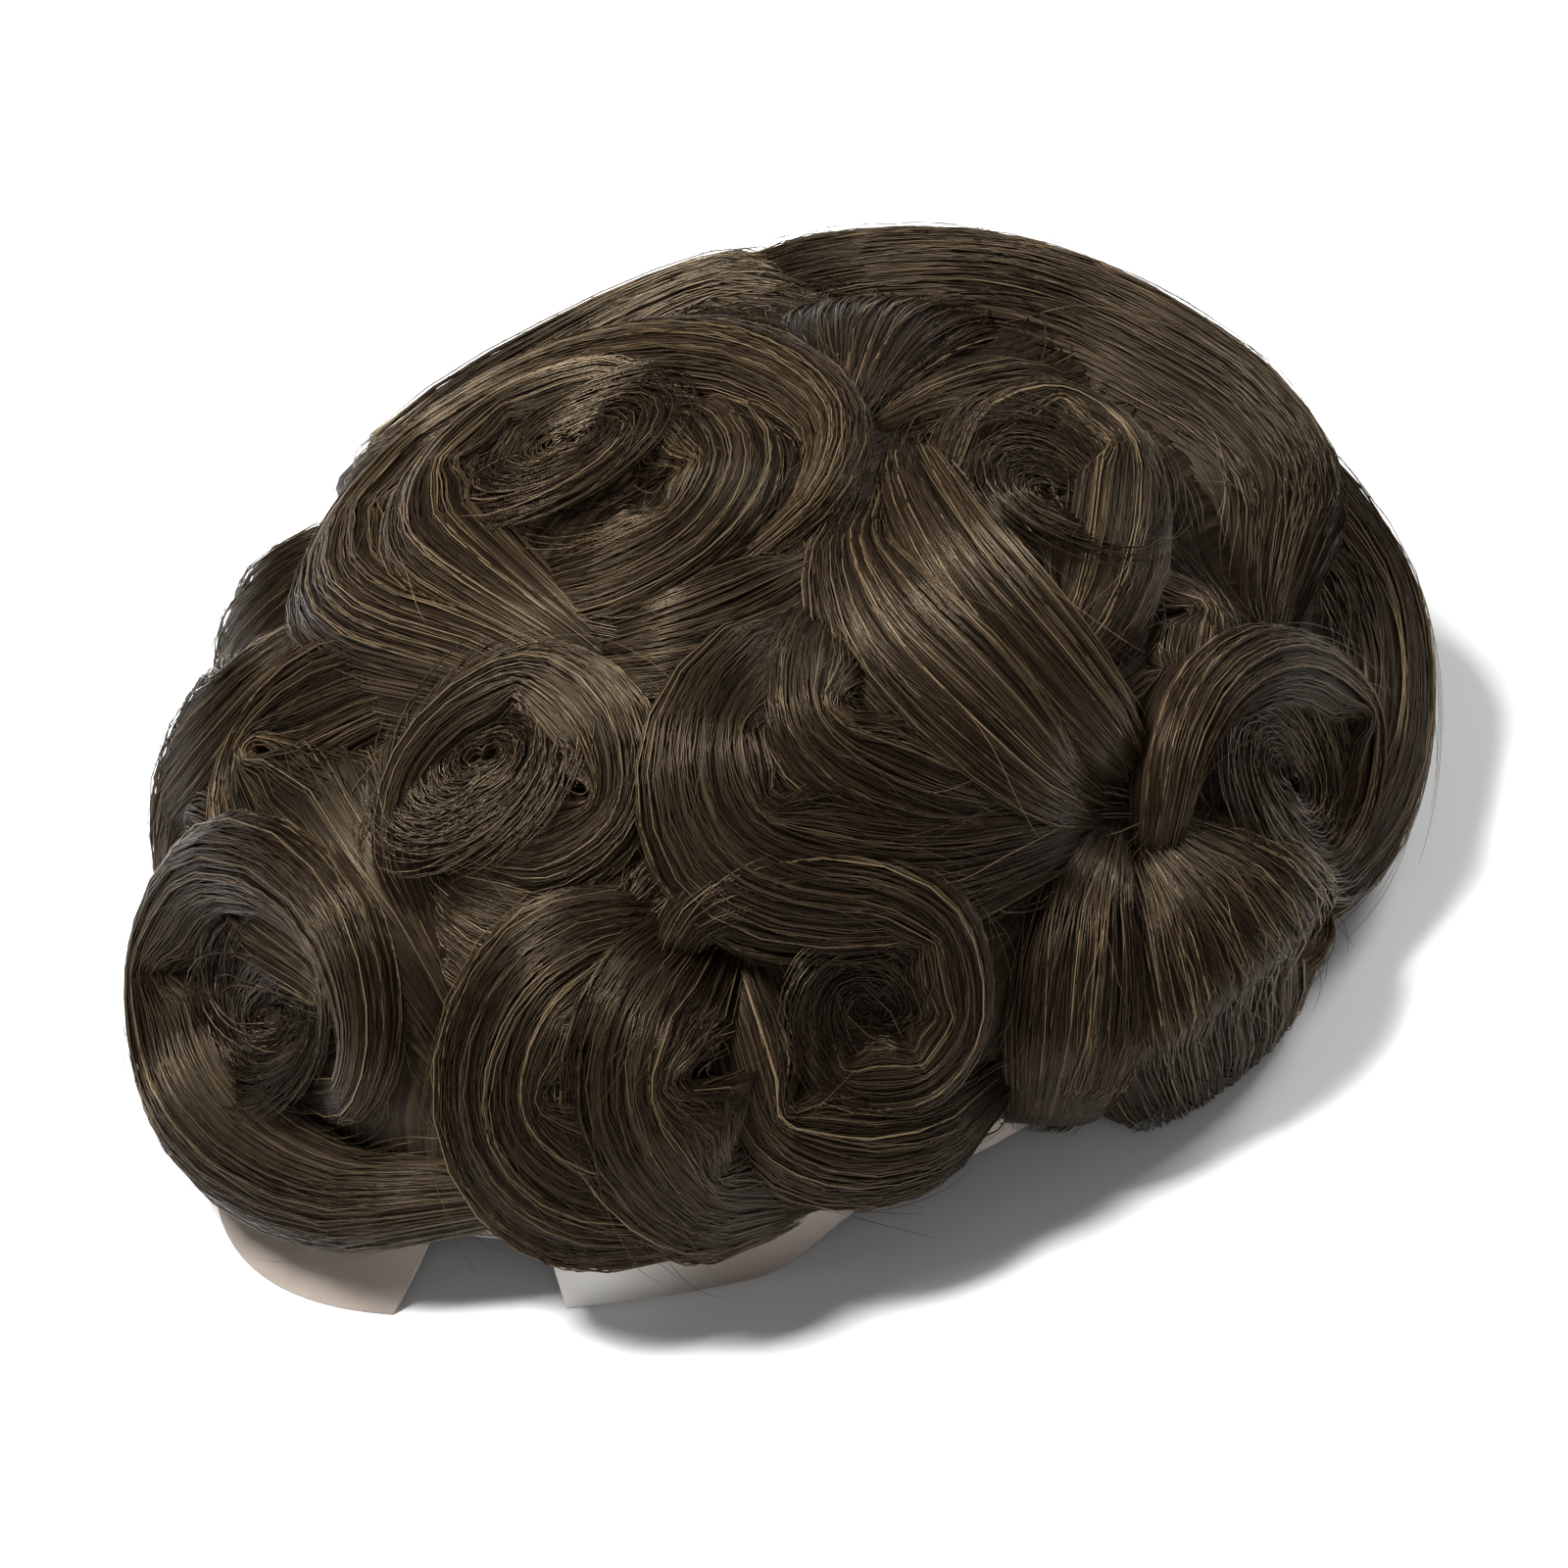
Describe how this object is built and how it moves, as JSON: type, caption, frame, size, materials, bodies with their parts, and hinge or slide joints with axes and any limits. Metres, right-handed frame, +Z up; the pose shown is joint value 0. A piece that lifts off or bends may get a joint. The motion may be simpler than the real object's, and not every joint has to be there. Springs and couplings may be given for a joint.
{
  "type": "toupee hairpiece",
  "caption": "Short dark brown hairpiece set in pin curls and waves on a thin clear skin cap, hollow and open underneath, standing on its rim.",
  "frame": {"origin": "on the surface the rim stands on, under the middle of the whole piece's bounding box", "axes": "+Z up through the crown, -Y towards the wearer's forehead, +X towards the wearer's left"},
  "size_m": [0.1854, 0.2242, 0.101],
  "materials": {
    "skin_film": "thin, clear, slightly cloudy poly film with a soft gloss",
    "hair": "fine human hair, dark ash brown, combed and set in waves, with a soft sheen"
  },
  "bodies": {
    "root": {"skin_cap": "skin_film", "hair": "hair"}
  },
  "joints": []
}
